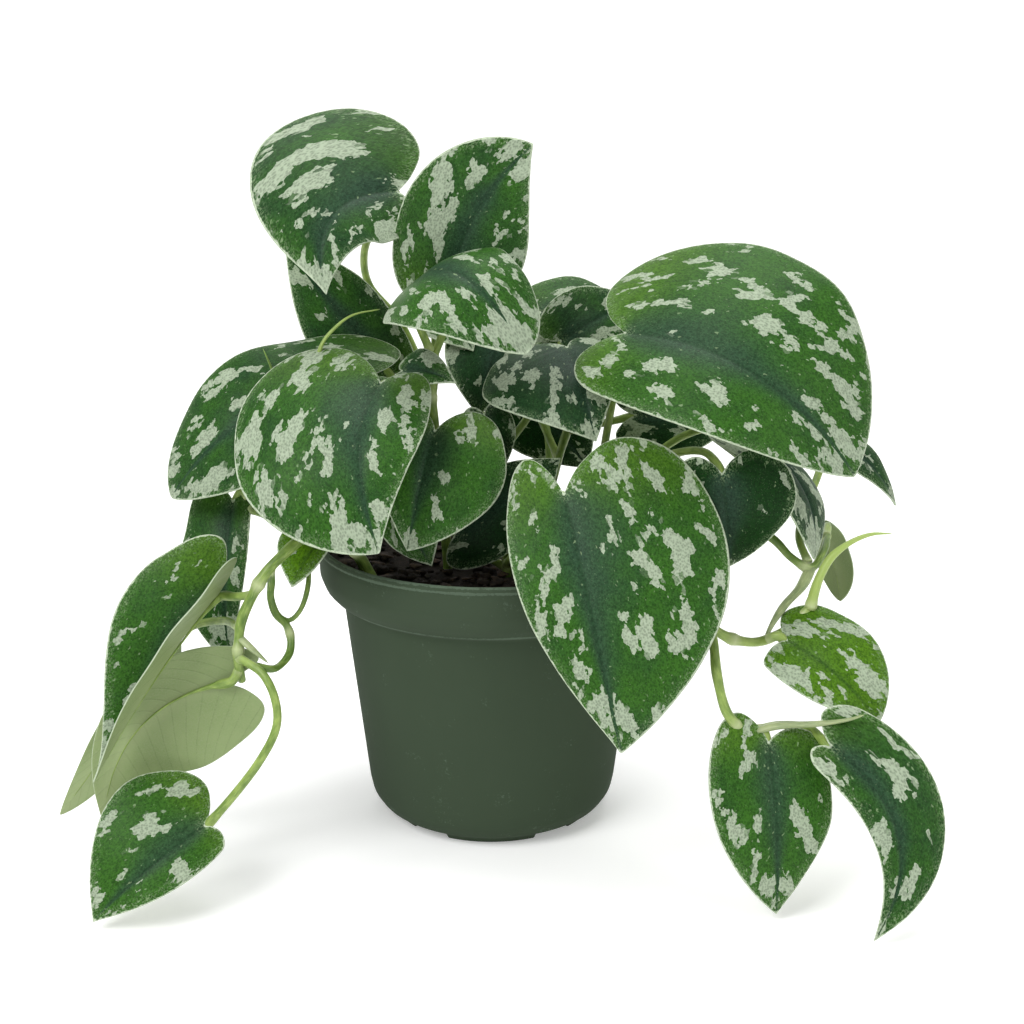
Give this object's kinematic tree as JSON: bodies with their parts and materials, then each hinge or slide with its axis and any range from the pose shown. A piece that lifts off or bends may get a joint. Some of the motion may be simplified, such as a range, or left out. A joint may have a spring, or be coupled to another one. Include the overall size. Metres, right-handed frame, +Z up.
{
  "type": "potted pothos plant",
  "caption": "Trailing satin pothos growing in a round plastic nursery pot: heart-shaped silver-splashed leaves on curved stalks and vines over the rim.",
  "frame": {"origin": "on the ground under the middle of the plant's outer box", "axes": "+Z up, -Y towards the plant's front, +X to the right seen from the front"},
  "size_m": [0.365, 0.2106, 0.3098],
  "materials": {
    "pot": "matt moulded dark green, slightly glossier on the rim band",
    "soil": "coarse damp peat mix with bark crumbs",
    "leaf": "satin green splashed and freckled with silver grey, pale sage underneath",
    "young_leaf": "satin lime green",
    "stem": "smooth satin yellow green"
  },
  "bodies": {
    "root": {"aerial_loop": "stem", "aerial_ring": "stem", "leaf_back_left": "leaf", "leaf_back_right": "leaf", "leaf_behind_middle": "leaf", "leaf_big_front": "leaf", "leaf_big_right": "leaf", "leaf_bottom_left": "leaf", "leaf_centre_small": "leaf", "leaf_dark_back": "leaf", "leaf_dark_middle": "leaf", "leaf_dark_right": "leaf", "leaf_deep_heart": "leaf", "leaf_far_right": "leaf", "leaf_left_back": "leaf", "leaf_left_front": "leaf", "leaf_lime_left": "young_leaf", "leaf_lime_right": "young_leaf", "leaf_low_left": "leaf", "leaf_low_middle": "leaf", "leaf_low_right_a": "leaf", "leaf_low_right_b": "leaf", "leaf_mid_back_right": "leaf", "leaf_right_heart": "leaf", "leaf_right_silver": "leaf", "leaf_right_under": "leaf", "leaf_silver_middle": "leaf", "leaf_tiny_centre": "leaf", "leaf_top_centre": "leaf", "leaf_top_left": "leaf", "leaf_trail_left_back": "leaf", "leaf_trail_left_far": "leaf", "leaf_trail_left_mid": "leaf", "leaf_trail_left_under": "leaf", "leaf_upper_middle": "leaf", "pot": "pot", "runner_right": "stem", "sheath_left": "stem", "sheath_right_lower": "stem", "sheath_right_upper": "stem", "soil": "soil", "sprout_right": "stem", "sprout_short": "stem", "sprout_tall": "stem", "vine_back_left": "stem", "vine_back_right": "stem", "vine_front": "stem", "vine_heart": "stem", "vine_left": "stem", "vine_left_upper": "stem", "vine_middle": "stem", "vine_right": "stem", "vine_right_lower": "stem", "vine_right_upper": "stem"}
  },
  "joints": []
}
